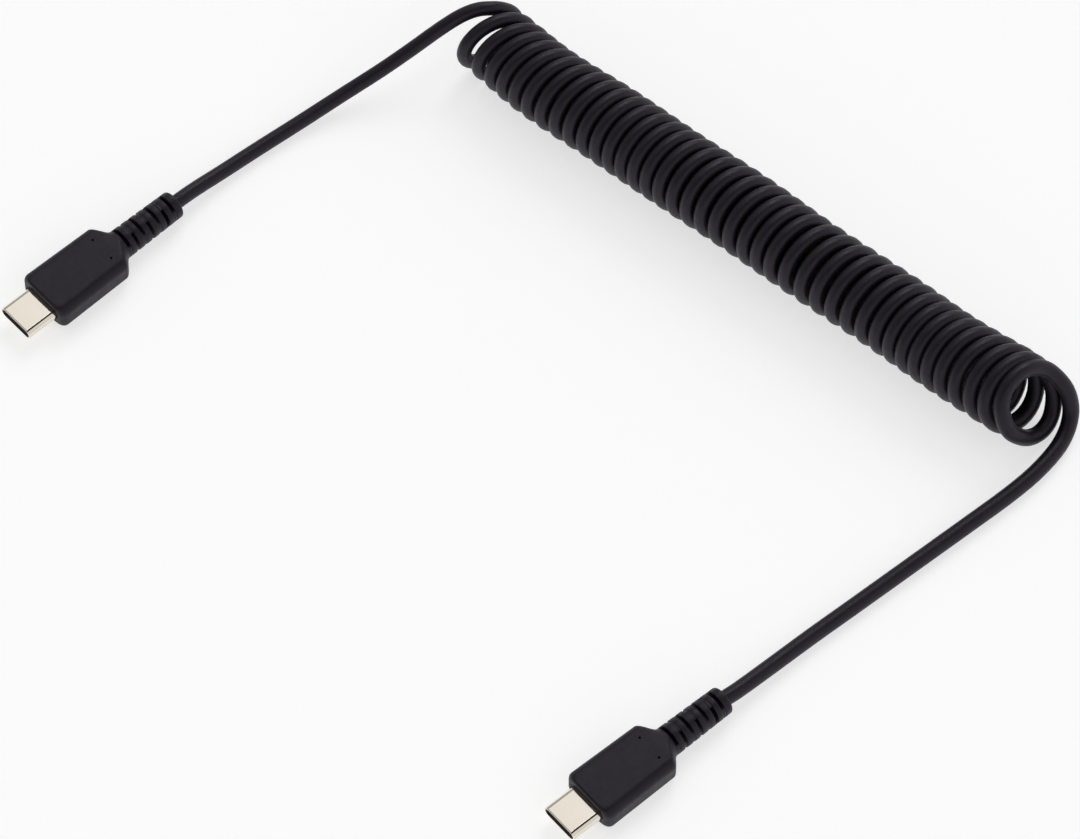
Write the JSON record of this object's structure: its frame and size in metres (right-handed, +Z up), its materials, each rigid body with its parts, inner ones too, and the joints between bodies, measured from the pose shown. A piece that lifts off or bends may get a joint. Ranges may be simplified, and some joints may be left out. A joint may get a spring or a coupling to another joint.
{
  "type": "usb-c cable",
  "caption": "Curly black USB-C cable: a close-wound helical cord with a straight lead and a flat moulded plug with a slotted strain relief at each end.",
  "frame": {"origin": "on the surface the cable lies on, under the middle of the box around the two plugs", "axes": "+X along the coil, from the end with plug A's lead to the end with plug B's lead; +Y from the plugs towards the coil; +Z up"},
  "size_m": [0.1751, 0.1311, 0.0166],
  "materials": {
    "cord_jacket": "satin, near black",
    "overmould": "soft matte, near black",
    "shell_metal": "bright plated steel, slightly warm",
    "insert_plastic": "matte, black"
  },
  "bodies": {
    "root": {"plug_a_overmould": "overmould", "plug_a_shell": "shell_metal", "plug_a_insert": "insert_plastic", "plug_b_overmould": "overmould", "plug_b_shell": "shell_metal", "plug_b_insert": "insert_plastic", "lead_a": "cord_jacket", "coil": "cord_jacket", "lead_b": "cord_jacket"}
  },
  "joints": []
}
